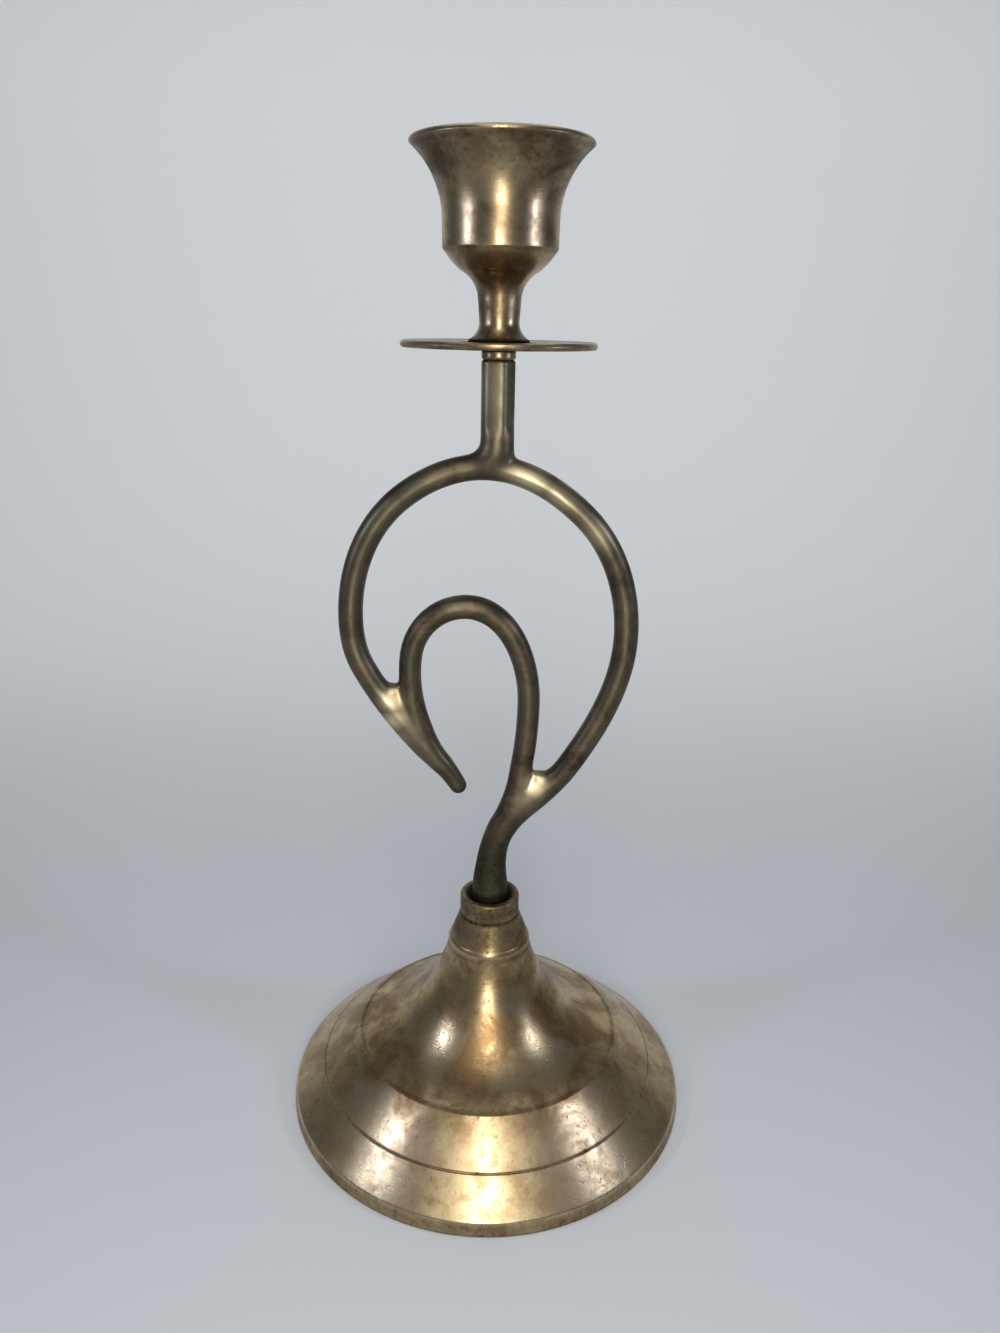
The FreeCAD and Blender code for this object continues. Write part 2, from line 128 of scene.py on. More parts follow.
def eased(points, radius):
    """Rounds every sharp corner of a profile a little, as a file or polishing wheel does."""
    softened = [points[0]]
    for before, here, after in zip(points, points[1:], points[2:]):
        into, out = here - before, after - here
        long_in, long_out = np.hypot(*into), np.hypot(*out)
        into, out = into / long_in, out / long_out
        turn = math.acos(max(-1.0, min(1.0, float(into @ out))))
        if turn < SLIGHT_TURN:
            softened.append(here)
            continue
        reach = min(radius * math.tan(turn / 2), long_in * CORNER_SHARE, long_out * CORNER_SHARE)
        first, last = here - into * reach, here + out * reach
        for step in range(CORNER_STEPS + 1):
            t = step / CORNER_STEPS
            softened.append(first * (1 - t) ** 2 + here * 2 * t * (1 - t) + last * t ** 2)
    softened.append(points[-1])
    return softened


def fine_steps(points, longest):
    """The same profile with no step longer than this."""
    steps = [points[0]]
    for before, here in zip(points, points[1:]):
        count = math.ceil(np.hypot(*(here - before)) / longest)
        steps += [before + (here - before) * i / count for i in range(1, count + 1)]
    return steps


def finished(name, mesh, material, node):
    """Puts a mesh into the scene in the place of its CAD node."""
    piece = bpy.data.objects.new(name, mesh)
    bpy.context.scene.collection.objects.link(piece)
    mesh.materials.append(material)
    mesh.shade_smooth()
    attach(piece, BODY)
    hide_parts(node)
    return piece


def marked(mesh, name, values):
    """Stores one number for each point of a mesh, for its material to read."""
    mesh.attributes.new(name, "FLOAT", "POINT").data.foreach_set("value", np.asarray(values, np.float32))


def spread(across, up, spots):
    """How strongly points are reached by spots (across, up, reach, strength)."""
    strength = np.zeros(len(up))
    for spot_across, spot_up, reach, most in spots:
        distance = np.hypot(across - spot_across, up - spot_up)
        strength = np.maximum(strength, most * np.exp(-(distance / reach) ** 2))
    return strength


def turned(name, points, material, node, grime_and_shade=(), rubbed_and_sheen=(), satin=0.0):
    """A piece turned about Z from its profile.

    The profile goes back to its start, or ends on the axis. The two lists of spots (r, z, reach, strength)
    give the places that are darkened, by dirt and by painted shade, and those that are brightened, where
    hands keep the metal bright and by painted highlights; below the height satin the finish is worn pale
    and even.
    """
    profile = np.array(fine_steps(points, PROFILE_STEP))
    angles = np.linspace(0, 2 * math.pi, TURNS, endpoint=False)
    ends_on_axis = profile[-1][0] <= ON_AXIS
    swept = profile[:-1] if ends_on_axis else profile
    rows = len(swept)
    verts = [(r * math.cos(a), r * math.sin(a), z) for a in angles for r, z in swept]
    faces = []
    for i in range(TURNS):
        here, after = i * rows, (i + 1) % TURNS * rows
        for j in range(rows - 1):
            faces.append((here + j, after + j, after + j + 1, here + j + 1))
    if ends_on_axis:
        centre = len(verts)
        verts.append((0.0, 0.0, profile[-1][1]))
    for i in range(TURNS):
        here, after = i * rows, (i + 1) % TURNS * rows
        if ends_on_axis:
            faces.append((centre, after + rows - 1, here + rows - 1))
        else:
            faces.append((here + rows - 1, after + rows - 1, after, here))
    mesh = bpy.data.meshes.new(name)
    mesh.from_pydata(verts, [], faces)
    places = np.array(verts)
    points_r = np.hypot(places[:, 0], places[:, 1])
    points_z = places[:, 2]
    normals = np.zeros(len(verts) * 3)
    mesh.vertices.foreach_get("normal", normals)
    outward = (normals.reshape(-1, 3) * places)[:, :2].sum(1)
    facing_axis = -outward / np.maximum(points_r, LEAST_LENGTH)
    # surfaces that face the axis, the insides, get painted shade
    marked(mesh, "inside_shade", np.clip(facing_axis * INSIDE_GAIN, 0, 1))
    marked(mesh, "grime_and_shade", spread(points_r, points_z, grime_and_shade))
    marked(mesh, "rubbed_and_sheen", spread(points_r, points_z, rubbed_and_sheen))
    marked(mesh, "satin", np.clip((satin - points_z) / SATIN_FADE, 0, 1))
    return finished(name, mesh, material, node)


# Finishes

# turned brass of the base: a pale straw metal that reads as gold, under a golden brown tarnish
BASE_STRAW = linear("#C3AC83")
BASE_BROWN = linear("#8B704C")
# turned brass of pan, washer and cup: the same metal painted greyer and darker, a shaded copy of the
# base's brass
CUP_STRAW_SHADED = linear("#B4A07C")
CUP_BROWN_SHADED = linear("#73604A")
# cast brass of the stem: olive grey with almost no gold left, because its skin was never cut bright
CAST_OLIVE = linear("#6B6550")
CAST_BROWN = linear("#443E33")
# tarnish with a rosy look, where copper is left at the surface
ROSY = linear("#8A6A58")
# the skirt, which is held and wiped most: pale and even
WORN_PALE = linear("#D2B990")
# edges that hands rub, almost bare metal, and painted highlights
RUBBED_AND_SHEEN_BRIGHT = linear("#E6D5AE")
# pits, and the painted shade of the insides
DEEP_BROWN = linear("#5B4A2E")
# old polish and dust that have set in corners, and painted shade under edges, in corners and at the foot
GRIME_AND_SHADE = linear("#1E1A12")
# drawn steel of the hidden fixings, dull and slightly warm
STEEL_DARK = linear("#5A5753")
STEEL_PALE = linear("#8F8C87")

# sizes of the patterns in millimetres; pits and tool lines are coarser than real ones so that they show
SPECK_SIZE = 1.1
HOLLOW_SIZE = 5.0
TOOL_LINE_SIZE = 0.5
STEEL_GRAIN_SIZE = 0.8
# how deep their relief is
HOLLOW_DEPTH = 0.12 * MM
PIT_DEPTH = 0.08 * MM
TOOL_LINE_DEPTH = 0.03 * MM
STEEL_GRAIN_DEPTH = 0.05 * MM
# rosy patches are smaller than the clouds of tarnish by this
PATCH_SHARE = 0.42
# half of the range of a cloud's noise over which the metal goes from brown to light
CLOUD_HALF_RANGE = 0.12


def aged_brass(name, light, brown, cloud_size, contrast, rosy, roughness, pits, hollows, tool_lines):
    """Old brass: metal that has browned in clouds, with rosy patches, fine pits, dirt and painted shade in
    corners, and bright rubbed edges and painted highlights.

    cloud_size is in millimetres and contrast says how sharply light and brown part. rosy, pits, hollows
    and tool_lines say how strongly each shows, and roughness is that of the clean metal.
    """
    material = bpy.data.materials.new(name)
    material.use_nodes = True
    tree = material.node_tree
    tree.nodes.clear()
    place = add(tree, "ShaderNodeTexCoord").outputs["Object"]
    clouds = add(tree, "ShaderNodeTexNoise", {
        "Vector": place, "Scale": per_metre(cloud_size), "Detail": 6.0, "Roughness": 0.62,
        "Distortion": 0.35})
    half_range = CLOUD_HALF_RANGE / contrast
    tone = add(tree, "ShaderNodeMapRange", {
        "Value": clouds.outputs["Fac"], "From Min": 0.5 - half_range, "From Max": 0.5 + half_range})
    metal = add(tree, "ShaderNodeMix", {"Factor": tone.outputs["Result"], "A": brown, "B": light},
                data_type="RGBA")
    # the skirt of the base is handled and wiped more, so it is paler
    worn = add(tree, "ShaderNodeAttribute", attribute_name="satin")
    uneven_wear = add(tree, "ShaderNodeMath", {
        0: tone.outputs["Result"], 1: 0.4, 2: 0.4}, operation="MULTIPLY_ADD")
    wear = add(tree, "ShaderNodeMath", {
        0: worn.outputs["Fac"], 1: uneven_wear.outputs["Value"]}, operation="MULTIPLY")
    handled = add(tree, "ShaderNodeMix", {
        "Factor": wear.outputs["Value"], "A": metal.outputs["Result"], "B": WORN_PALE}, data_type="RGBA")
    # tarnish that leaves more copper than zinc at the surface, in patches
    patches = add(tree, "ShaderNodeTexNoise", {
        "Vector": place, "Scale": per_metre(cloud_size * PATCH_SHARE), "Detail": 8.0, "Roughness": 0.7,
        "Distortion": 0.8})
    patch_edge = add(tree, "ShaderNodeMapRange", {
        "Value": patches.outputs["Fac"], "From Min": 0.5, "From Max": 0.62, "To Max": rosy})
    rose = add(tree, "ShaderNodeMix", {
        "Factor": patch_edge.outputs["Result"], "A": handled.outputs["Result"], "B": ROSY},
        data_type="RGBA")
    # small dark spots and pits
    speckle = add(tree, "ShaderNodeTexNoise", {
        "Vector": place, "Scale": per_metre(SPECK_SIZE), "Detail": 3.0, "Roughness": 0.6})
    spot = add(tree, "ShaderNodeMapRange", {
        "Value": speckle.outputs["Fac"], "From Min": 0.6, "From Max": 0.74, "To Max": pits})
    spotted = add(tree, "ShaderNodeMix", {
        "Factor": spot.outputs["Result"], "A": rose.outputs["Result"], "B": DEEP_BROWN}, data_type="RGBA")
    # edges and hollows that hands and cloths keep bright, and painted highlights
    rubbed_and_sheen = add(tree, "ShaderNodeAttribute", attribute_name="rubbed_and_sheen")
    bright = add(tree, "ShaderNodeMix", {
        "Factor": rubbed_and_sheen.outputs["Fac"], "A": spotted.outputs["Result"], "B": RUBBED_AND_SHEEN_BRIGHT},
        data_type="RGBA")
    # dirt that cloths never reach, and painted shade, broken up at its edge
    dirt_and_shade = add(tree, "ShaderNodeAttribute", attribute_name="grime_and_shade")
    broken = add(tree, "ShaderNodeMath", {
        0: speckle.outputs["Fac"], 1: 0.4, 2: dirt_and_shade.outputs["Fac"]}, operation="MULTIPLY_ADD")
    dirty_and_shaded = add(tree, "ShaderNodeMapRange", {
        "Value": broken.outputs["Value"], "From Min": 0.31, "From Max": 1.0})
    colour = add(tree, "ShaderNodeMix", {
        "Factor": dirty_and_shaded.outputs["Result"], "A": bright.outputs["Result"], "B": GRIME_AND_SHADE}, data_type="RGBA")
    # the insides of the base and the cup, which face the axis, are mixed towards deep brown: painted shade
    inside_shade = add(tree, "ShaderNodeAttribute", attribute_name="inside_shade")
    dark = add(tree, "ShaderNodeMath", {0: inside_shade.outputs["Fac"], 1: 0.62}, operation="MULTIPLY")
    shaded = add(tree, "ShaderNodeMix", {
        "Factor": dark.outputs["Value"], "A": colour.outputs["Result"], "B": DEEP_BROWN}, data_type="RGBA")
    # roughness follows the clouds; dirt and painted shade, tarnish and the insides are duller, and rubbed
    # edges and painted highlights shine
    dull = add(tree, "ShaderNodeMapRange", {
        "Value": clouds.outputs["Fac"], "From Min": 0.3, "From Max": 0.7,
        "To Min": roughness + 0.12, "To Max": roughness - 0.04})
    duller = add(tree, "ShaderNodeMath", {
        0: dirty_and_shaded.outputs["Result"], 1: 0.35, 2: dull.outputs["Result"]}, operation="MULTIPLY_ADD")
    dullest = add(tree, "ShaderNodeMath", {
        0: patch_edge.outputs["Result"], 1: 0.12, 2: duller.outputs["Value"]}, operation="MULTIPLY_ADD")
    polished = add(tree, "ShaderNodeMath", {
        0: rubbed_and_sheen.outputs["Fac"], 1: -0.16, 2: dullest.outputs["Value"]}, operation="MULTIPLY_ADD")
    rough = add(tree, "ShaderNodeMath", {
        0: inside_shade.outputs["Fac"], 1: 0.22, 2: polished.outputs["Value"]}, operation="MULTIPLY_ADD")
    # relief: soft hollows, pits, and for turned pieces the fine rings of the lathe tool
    dents = add(tree, "ShaderNodeTexNoise", {
        "Vector": place, "Scale": per_metre(HOLLOW_SIZE), "Detail": 2.0})
    uneven = add(tree, "ShaderNodeBump", {
        "Height": dents.outputs["Fac"], "Strength": hollows, "Distance": HOLLOW_DEPTH})
    pitted = add(tree, "ShaderNodeBump", {
        "Height": spot.outputs["Result"], "Strength": 0.35, "Distance": PIT_DEPTH,
        "Normal": uneven.outputs["Normal"]}, invert=True)
    normal = pitted.outputs["Normal"]
    if tool_lines:
        apart = add(tree, "ShaderNodeSeparateXYZ", {"Vector": place})
        flat = add(tree, "ShaderNodeCombineXYZ", {"X": apart.outputs["X"], "Y": apart.outputs["Y"]})
        radius = add(tree, "ShaderNodeVectorMath", {0: flat.outputs["Vector"]}, operation="LENGTH")
        ring = add(tree, "ShaderNodeCombineXYZ", {"X": radius.outputs["Value"], "Z": apart.outputs["Z"]})
        lines = add(tree, "ShaderNodeTexNoise", {
            "Vector": ring.outputs["Vector"], "Scale": per_metre(TOOL_LINE_SIZE), "Detail": 3.0,
            "Roughness": 0.7})
        lined = add(tree, "ShaderNodeBump", {
            "Height": lines.outputs["Fac"], "Strength": tool_lines, "Distance": TOOL_LINE_DEPTH,
            "Normal": normal})
        normal = lined.outputs["Normal"]
    shader = add(tree, "ShaderNodeBsdfPrincipled", {
        "Base Color": shaded.outputs["Result"], "Metallic": 1.0, "Roughness": rough.outputs["Value"],
        "Normal": normal})
    add(tree, "ShaderNodeOutputMaterial", {"Surface": shader.outputs["BSDF"]})
    return material


def plain_steel(name):
    """Dull drawn steel of the hidden fixings, with a fine uneven grain."""
    material = bpy.data.materials.new(name)
    material.use_nodes = True
    tree = material.node_tree
    tree.nodes.clear()
    place = add(tree, "ShaderNodeTexCoord").outputs["Object"]
    grain = add(tree, "ShaderNodeTexNoise", {
        "Vector": place, "Scale": per_metre(STEEL_GRAIN_SIZE), "Detail": 5.0, "Roughness": 0.65})
    colour = add(tree, "ShaderNodeMix", {
        "Factor": grain.outputs["Fac"], "A": STEEL_DARK, "B": STEEL_PALE}, data_type="RGBA")
    rough = add(tree, "ShaderNodeMapRange", {
        "Value": grain.outputs["Fac"], "To Min": 0.34, "To Max": 0.56})
    relief = add(tree, "ShaderNodeBump", {
        "Height": grain.outputs["Fac"], "Strength": 0.3, "Distance": STEEL_GRAIN_DEPTH})
    shader = add(tree, "ShaderNodeBsdfPrincipled", {
        "Base Color": colour.outputs["Result"], "Metallic": 1.0, "Roughness": rough.outputs["Result"],
        "Normal": relief.outputs["Normal"]})
    add(tree, "ShaderNodeOutputMaterial", {"Surface": shader.outputs["BSDF"]})
    return material


base_brass = aged_brass(
    "turned_brass_golden_patina", BASE_STRAW, BASE_BROWN,
    cloud_size=11.0, contrast=1.3, rosy=0.4, roughness=0.26, pits=0.6, hollows=0.25, tool_lines=0.5)
# the pan, washer and cup share a greyer, darker copy of the base's brass: painted shade
cup_brass_shaded = aged_brass(
    "turned_brass_shaded_grey_brown", CUP_STRAW_SHADED, CUP_BROWN_SHADED,
    cloud_size=11.0, contrast=1.3, rosy=0.25, roughness=0.26, pits=0.6, hollows=0.25, tool_lines=0.5)
cast_brass = aged_brass(
    "cast_brass_hand_finished", CAST_OLIVE, CAST_BROWN,
    cloud_size=14.0, contrast=0.9, rosy=0.4, roughness=0.41, pits=0.25, hollows=0.5, tool_lines=0.0)
steel = plain_steel("drawn_steel_dull")

# The base: band, skirt with a turned line, crease, trumpet, bead, and the socket that holds the stem

STUD_HOLE_RADIUS = 2.6 * MM
RIM_RADIUS = base_high.x
BASE_TOP = base_high.z
BASE_WALL = 2.2 * MM
BASE_EASE = 0.7 * MM
RIM_RISE = 1.1 * MM
BAND_INSET = 0.7 * MM
BAND_HEIGHT = 4.0 * MM
BAND = (RIM_RADIUS - BAND_INSET, BAND_HEIGHT)
CREASE = (0.6583 * RIM_RADIUS, 0.3117 * BASE_TOP)
NECK = (11.3 * MM, 0.7674 * BASE_TOP)
TRUMPET_SWEEP = 38.0 * MM
# the turned line lies at this share of the way from the band to the crease, and its floor is narrower
LINE_SHARE = 0.451
LINE = (BAND[0] + (CREASE[0] - BAND[0]) * LINE_SHARE, BAND[1] + (CREASE[1] - BAND[1]) * LINE_SHARE)
LINE_HALF = 0.3 * MM
LINE_DEPTH = 0.25 * MM
LINE_FLOOR_SHARE = 0.3
BEAD_INSET = 0.6 * MM
BEAD_HEIGHT = 2.1 * MM
BEAD_SWEEP = 2.4 * MM
COLLAR_RADIUS = 8.1 * MM
COLLAR_LENGTH = 5.6 * MM
SOCKET_RADIUS = 6.1 * MM
SOCKET_SEAT = stem_low.z
SOCKET_FLOOR = 3.0 * MM
SOCKET_UNDERSIDE = SOCKET_SEAT - SOCKET_FLOOR
BOSS_RADIUS = 7.2 * MM
# the hollow follows the outside: the ways into the wall at neck and crease, as shares of its thickness
NECK_INTO = (0.98, 0.17)
CREASE_INTO = (0.51, 0.88)
HOLLOW_EDGE = (BAND[0] - BASE_WALL, RIM_RISE + BASE_WALL)

skirt = np.array(CREASE) - np.array(BAND)
skirt = skirt / np.hypot(*skirt)
out_of_skirt = np.array([skirt[1], -skirt[0]])
line = np.array(LINE)

base_profile = outline([
    HOLLOW_EDGE,
    (RIM_RADIUS - BASE_WALL, 0.0),
    (RIM_RADIUS, 0.0),
    BAND,
    tuple(line - skirt * LINE_HALF),
    tuple(line - skirt * LINE_HALF * LINE_FLOOR_SHARE - out_of_skirt * LINE_DEPTH),
    tuple(line + skirt * LINE_HALF * LINE_FLOOR_SHARE - out_of_skirt * LINE_DEPTH),
    tuple(line + skirt * LINE_HALF),
    CREASE,
    (*NECK, TRUMPET_SWEEP, 1),
    (NECK[0] - BEAD_INSET, NECK[1] + BEAD_HEIGHT, BEAD_SWEEP, -1),
    (COLLAR_RADIUS, BASE_TOP - COLLAR_LENGTH),
    (COLLAR_RADIUS, BASE_TOP),
    (SOCKET_RADIUS, BASE_TOP),
    (SOCKET_RADIUS, SOCKET_SEAT),
    (STUD_HOLE_RADIUS, SOCKET_SEAT),
    (STUD_HOLE_RADIUS, SOCKET_UNDERSIDE),
    (BOSS_RADIUS, SOCKET_UNDERSIDE),
    (NECK[0] - NECK_INTO[0] * BASE_WALL, NECK[1] - NECK_INTO[1] * BASE_WALL),
    (CREASE[0] - CREASE_INTO[0] * BASE_WALL, CREASE[1] - CREASE_INTO[1] * BASE_WALL,
     TRUMPET_SWEEP + BASE_WALL, -1),
    HOLLOW_EDGE,
])
# spots that are darkened: dirt in the corners, and painted shade where marked
base_grime_and_shade = [
    (SOCKET_RADIUS, BASE_TOP, 2.4 * MM, 0.6),                     # mouth of the socket
    (COLLAR_RADIUS, BASE_TOP - 2.5 * MM, 5.0 * MM, 0.55),         # side of the collar, painted shade
    (NECK[0] - 2.0 * MM, BASE_TOP - 9.0 * MM, 4.5 * MM, 0.5),     # shoulder over the bead, painted shade
    (COLLAR_RADIUS, BASE_TOP - COLLAR_LENGTH, 1.2 * MM, 0.7),     # corner of collar and shoulder
    (NECK[0] + 0.3 * MM, NECK[1] - 0.6 * MM, 0.9 * MM, 0.35),     # under the bead, painted shade
    (NECK[0] + 1.0 * MM, NECK[1] - 5.0 * MM, 5.0 * MM, 0.25),     # top of the trumpet, painted shade
    (RIM_RADIUS, 2.0 * MM, 2.2 * MM, 0.4),                        # band, painted shade
    (*LINE, 0.3 * MM, 0.7),                                       # turned line
    (CREASE[0] - 0.6 * MM, CREASE[1] + 0.4 * MM, 0.8 * MM, 0.4),  # crease
    (RIM_RADIUS, 0.0, 1.2 * MM, 0.6),                             # edge on the table, painted contact shadow
]
base_sheen = [
    (NECK[0] - 0.1 * MM, NECK[1] + 1.0 * MM, 0.9 * MM, 0.12),     # bead, painted highlight
    (BAND[0], BAND[1] + 0.2 * MM, 0.7 * MM, 0.3),                 # edge over the band, painted highlight
]
# the last point is left out, because the first one stands in the same place
turned("base_bell", eased(base_profile, BASE_EASE)[:-1], base_brass, "base",
       grime_and_shade=base_grime_and_shade, rubbed_and_sheen=base_sheen, satin=CREASE[1])

# The drip pan: a thin disc, flat where it is clamped and dished a little outside that

PAN_RADIUS = pan_high.x
PAN_EDGE = PAN_RADIUS - 0.5 * MM
PAN_EDGE_SWEEP = 0.9 * MM
PAN_EASE = 0.2 * MM
PAN_DISH = 0.3 * MM
PAN_THICK = pan_high.z - pan_low.z - PAN_DISH
PAN_SEAT_RADIUS = 9.0 * MM
CUP_FOOT_RADIUS = 7.1 * MM

pan_profile = outline([
    (STUD_HOLE_RADIUS, pan_low.z),
    (PAN_SEAT_RADIUS, pan_low.z),
    (PAN_EDGE, pan_low.z + PAN_DISH),
    (PAN_EDGE, pan_low.z + PAN_DISH + PAN_THICK, PAN_EDGE_SWEEP, -1),
    (PAN_SEAT_RADIUS, pan_low.z + PAN_THICK),
    (STUD_HOLE_RADIUS, pan_low.z + PAN_THICK),
])
pan_grime_and_shade = [
    (CUP_FOOT_RADIUS, pan_low.z + PAN_THICK, 1.6 * MM, 0.9),      # round the cup's foot
    (4.5 * MM, pan_low.z, 1.8 * MM, 1.0),                         # round the washer, painted shade under the pan
    (PAN_RADIUS, pan_low.z, 1.3 * MM, 0.4),                       # under the edge, painted shade
]
pan_sheen = [
    (PAN_EDGE, pan_low.z + PAN_DISH + PAN_THICK, 0.6 * MM, 0.2),  # top of the edge, painted highlight
]
turned("drip_pan_disc", eased(pan_profile, PAN_EASE), cup_brass_shaded, "drip_pan",
       grime_and_shade=pan_grime_and_shade, rubbed_and_sheen=pan_sheen)

# The washer under the pan: a short collar with both edges broken

WASHER_RADIUS = washer_high.x
WASHER_EDGE_IN = 0.3 * MM
WASHER_EDGE_UP = 0.4 * MM
WASHER_EASE = 0.25 * MM

washer_profile = outline([
    (STUD_HOLE_RADIUS, washer_low.z),
    (WASHER_RADIUS - WASHER_EDGE_IN, washer_low.z),
    (WASHER_RADIUS, washer_low.z + WASHER_EDGE_UP),
    (WASHER_RADIUS, washer_high.z - WASHER_EDGE_UP),
    (WASHER_RADIUS - WASHER_EDGE_IN, washer_high.z),
    (STUD_HOLE_RADIUS, washer_high.z),
])
washer_shade = [
    (WASHER_RADIUS, washer_low.z, 0.9 * MM, 0.45),                # joint with the post, painted shade
    (WASHER_RADIUS, washer_high.z, 0.6 * MM, 0.9),                # joint with the pan, painted shade under the pan
]
turned("stem_washer_ring", eased(washer_profile, WASHER_EASE), cup_brass_shaded, "stem_washer",
       grime_and_shade=washer_shade)

# The candle cup: foot, waist, rounded bowl, barrel and flared lip; heights are above its foot

CUP = cup_low.z
CUP_EASE = 0.3 * MM
STUD_HOLE_DEPTH = 10.0 * MM
CUP_FOOT_EDGE = 0.5 * MM
WAIST_RADIUS = 4.6 * MM
WAIST_HEIGHT = 4.2 * MM
WAIST_SWEEP = 4.4 * MM
WAIST_TOP_RADIUS = 4.95 * MM
WAIST_TOP_HEIGHT = 9.4 * MM
BOWL_ROOT_RADIUS = 8.8 * MM
BOWL_ROOT_HEIGHT = 15.2 * MM
BOWL_ROOT_SWEEP = 7.0 * MM
BOWL_RADIUS = 13.05 * MM
BOWL_HEIGHT = 19.9 * MM
BOWL_SWEEP = 18.0 * MM
BARREL_RADIUS = 13.15 * MM
BARREL_HEIGHT = 26.1 * MM
LIP_RADIUS = cup_high.x
LIP_TOP = cup_high.z
LIP_SWEEP = 19.8 * MM
LIP_ROUND = 1.05 * MM
LIP_LAND_SHARE = 1.5
CANDLE_RADIUS = 11.1 * MM
CANDLE_FLOOR = CUP + 19.8 * MM
CANDLE_GRIP = 9.0 * MM
MOUTH_SWEEP = 18.5 * MM

cup_profile = outline([
    (STUD_HOLE_RADIUS, CUP + STUD_HOLE_DEPTH),
    (STUD_HOLE_RADIUS, CUP),
    (CUP_FOOT_RADIUS, CUP),
    (CUP_FOOT_RADIUS, CUP + CUP_FOOT_EDGE),
    (WAIST_RADIUS, CUP + WAIST_HEIGHT, WAIST_SWEEP, 1),
    (WAIST_TOP_RADIUS, CUP + WAIST_TOP_HEIGHT),
    (BOWL_ROOT_RADIUS, CUP + BOWL_ROOT_HEIGHT, BOWL_ROOT_SWEEP, 1),
    (BOWL_RADIUS, CUP + BOWL_HEIGHT, BOWL_SWEEP, -1),
    (BARREL_RADIUS, CUP + BARREL_HEIGHT),
    (LIP_RADIUS, LIP_TOP - LIP_ROUND, LIP_SWEEP, 1),
    (LIP_RADIUS - LIP_ROUND, LIP_TOP, LIP_ROUND, -1),
    (LIP_RADIUS - LIP_LAND_SHARE * LIP_ROUND, LIP_TOP),
    (CANDLE_RADIUS, CANDLE_FLOOR + CANDLE_GRIP, MOUTH_SWEEP, -1),
    (CANDLE_RADIUS, CANDLE_FLOOR),
    (0.0, CANDLE_FLOOR),
])
cup_grime_and_shade = [
    (CUP_FOOT_RADIUS, CUP, 1.2 * MM, 0.9),                        # foot on the pan
    (12.9 * MM, CUP + 19.4 * MM, 1.0 * MM, 0.35),                 # line between bowl and barrel
    (LIP_RADIUS - 3.0 * MM, LIP_TOP - 5.5 * MM, 5.0 * MM, 0.48),  # under the flare, painted shade
    (LIP_RADIUS - 0.4 * MM, LIP_TOP - 2.6 * MM, 1.6 * MM, 0.55),  # under the lip, painted shade
    (5.0 * MM, CUP + 8.0 * MM, 4.5 * MM, 0.3),                    # waist
    (CANDLE_RADIUS, CANDLE_FLOOR, 1.0 * MM, 0.9),                 # corner of the candle hole
    (0.0, CANDLE_FLOOR, 6.0 * MM, 0.8),                           # old wax and soot on its floor
]
cup_lip_sheen = [
    (LIP_RADIUS - 0.5 * MM, LIP_TOP, 0.9 * MM, 0.7),              # lip, painted highlight
]
turned("candle_cup_bowl", eased(cup_profile, CUP_EASE), cup_brass_shaded, "candle_cup",
       grime_and_shade=cup_grime_and_shade, rubbed_and_sheen=cup_lip_sheen)

# The cast stem: rods that flow into each other, one surface worked out from their middle lines.
# Its numbers are millimetres in the plane of the ring, x to the right and z up from the table.

RING_ROD = 3.1
SCROLL_ROD = 2.9
POST_ROD = 4.0
POST_CHAMFER = 0.5
STEM_TOP = stem_high.z / MM
STEM_FOOT = stem_low.z / MM
TOP = (0.0, 179.6)
MEETING = (-13.5, 102.2)
FORK = (3.2, 83.7)
# the longest step along a middle line, and how much further a sharp bend swings out
LINE_STEP = 0.9
BEND_PULL = 0.6
# how softly the rods flow into each other, and the places (x, z, reach, extra) that are softer
FLOW = 0.5
SOFT_CORNERS = (
    (-26.5, 121.0, 9.0, 0.5),  # crotch between the ring and the scroll's end
    (12.0, 98.0, 9.0, 0.5),    # crotch above the fork
    (-4.0, 182.0, 5.0, 1.1),   # foot of the post, left
    (3.0, 183.0, 3.5, 0.3),    # foot of the post, right
)
# where hands keep the casting bright, and painted highlights (x, z, reach, strength)
RUBBED_AND_SHEEN = (
    (-26.2, 120.5, 2.6, 0.95),  # crotch between the ring and the scroll's end, painted highlight
    (-25.8, 115.0, 2.6, 0.8),
    (-23.5, 110.0, 4.0, 0.2),
    (11.1, 97.5, 2.6, 1.0),     # crotch above the fork, painted highlight
    (8.5, 93.0, 4.0, 0.15),
    (-1.5, 199.0, 8.0, 0.2),    # front of the post, painted highlight
    (8.0, 178.0, 5.0, 0.6),     # ring to the right of the post, painted highlight
    (15.5, 173.5, 4.0, 0.5),
    (24.5, 164.5, 4.0, 0.35),
)
# where the stem is darker (z, reach, strength): in the socket, along the lower stem, and painted shade
# under the washer
DARKER_HEIGHTS = (
    (BASE_TOP / MM - 1, 4.0, 0.7),
    (73, 12, 0.5),
    (STEM_TOP, 1.0, 0.2),
)
# and painted shade in a streak down the right edge of the post: middle height, half width, half height,
# strength
SHADE_STREAK_HEIGHT = 199
SHADE_STREAK_HALF_WIDTH = 2.5
SHADE_STREAK_HALF_HEIGHT = 7
SHADE_STREAK_STRENGTH = 0.4
# the post is filed flat in front and at the right: (degrees from the front, distance from the axis)
POST_FACES = ((-12.0, 3.55), (55.0, 3.6))
# below this height they run out: they move outwards by this times the square of the way down
POST_FACES_FROM = 190.0
FACE_RUN_OUT = 0.12
FACE_EDGE = 0.3
# the post's edge is broken only in the topmost part; elsewhere the cut counts as this far away
CHAMFER_ZONE = 3
FAR_AWAY = -9.0
# limits that keep the sums finite
LARGEST_POWER = 50
LEAST_WEIGHT = 1e-30
# tubes that the remesh joins: sides, how much too fat, and how their rounded ends reach out and taper
TUBE_SIDES = 20
TUBE_EXTRA = 0.35
END_REACH = 0.8
END_SHARE = 0.6
# the joined mesh moves onto the surface in this many rounds, this many points at a time
FINE_VOXEL = 0.5
ROUNDS = 5
BATCH = 4000


